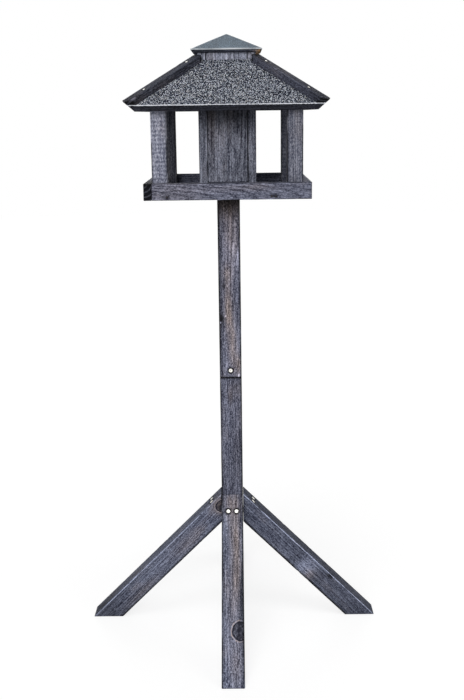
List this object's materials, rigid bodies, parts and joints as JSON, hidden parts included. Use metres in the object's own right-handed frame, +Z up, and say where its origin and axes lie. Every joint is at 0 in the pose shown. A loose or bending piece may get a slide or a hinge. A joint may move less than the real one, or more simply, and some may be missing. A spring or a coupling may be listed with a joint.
{
  "type": "bird table",
  "caption": "Free-standing timber bird table: post on splayed legs, open tray, central seed silo, felted hip roof and lift-off lid.",
  "frame": {"origin": "on the ground, on the axis of the post", "axes": "+Z up along the post, -Y towards the front leg, +X to the right seen from the front"},
  "size_m": [0.612, 0.612, 1.216],
  "materials": {
    "post_stain": "blue-grey exterior stain on planed softwood, weathered",
    "leg_stain": "blue-grey exterior stain on planed softwood, weathered",
    "tray_stain": "blue-grey exterior stain on sawn softwood",
    "silo_stain": "blue-grey exterior stain on planed softwood",
    "roof_stain": "dark exterior stain on sawn softwood",
    "felt": "blue-grey mineral granules on bitumen felt",
    "bare_wood": "bare softwood",
    "sheet": "fine speckled grey coating",
    "steel": "zinc-plated, dulled"
  },
  "bodies": {
    "root": {"post_lower": "post_stain", "post_upper": "post_stain", "post_dowel": "bare_wood", "post_screw": "steel", "leg_front": "leg_stain", "leg_right": "leg_stain", "leg_back": "leg_stain", "leg_left": "leg_stain", "leg_screw_front_1": "steel", "leg_screw_front_2": "steel", "leg_screw_right_1": "steel", "leg_screw_right_2": "steel", "leg_screw_back_1": "steel", "leg_screw_back_2": "steel", "leg_screw_left_1": "steel", "leg_screw_left_2": "steel", "tray_floor": "tray_stain", "floor_screw_1": "steel", "floor_screw_2": "steel", "tray_rail_front": "tray_stain", "tray_rail_right": "tray_stain", "tray_rail_back": "tray_stain", "tray_rail_left": "tray_stain", "corner_post_front_left": "tray_stain", "corner_post_front_right": "tray_stain", "corner_post_back_right": "tray_stain", "corner_post_back_left": "tray_stain", "silo_board_front": "silo_stain", "silo_board_right": "silo_stain", "silo_board_back": "silo_stain", "silo_board_left": "silo_stain", "roof_board_front": "roof_stain", "roof_board_right": "roof_stain", "roof_board_back": "roof_stain", "roof_board_left": "roof_stain", "roof_felt_front": "felt", "roof_felt_right": "felt", "roof_felt_back": "felt", "roof_felt_left": "felt", "hip_lath_front_left": "roof_stain", "hip_lath_front_right": "roof_stain", "hip_lath_back_right": "roof_stain", "hip_lath_back_left": "roof_stain", "lath_nail_front_left_1": "steel", "lath_nail_front_left_2": "steel", "lath_nail_front_right_1": "steel", "lath_nail_front_right_2": "steel", "lath_nail_back_right_1": "steel", "lath_nail_back_right_2": "steel", "lath_nail_back_left_1": "steel", "lath_nail_back_left_2": "steel"},
    "lid": {"lid_cover": "sheet", "lid_base": "roof_stain", "lid_block": "bare_wood"}
  },
  "joints": [
    {"name": "lid_lift", "type": "slide", "parent": "root", "child": "lid", "axis": [0, 0, 1], "range_m": [0, 0.06]}
  ]
}
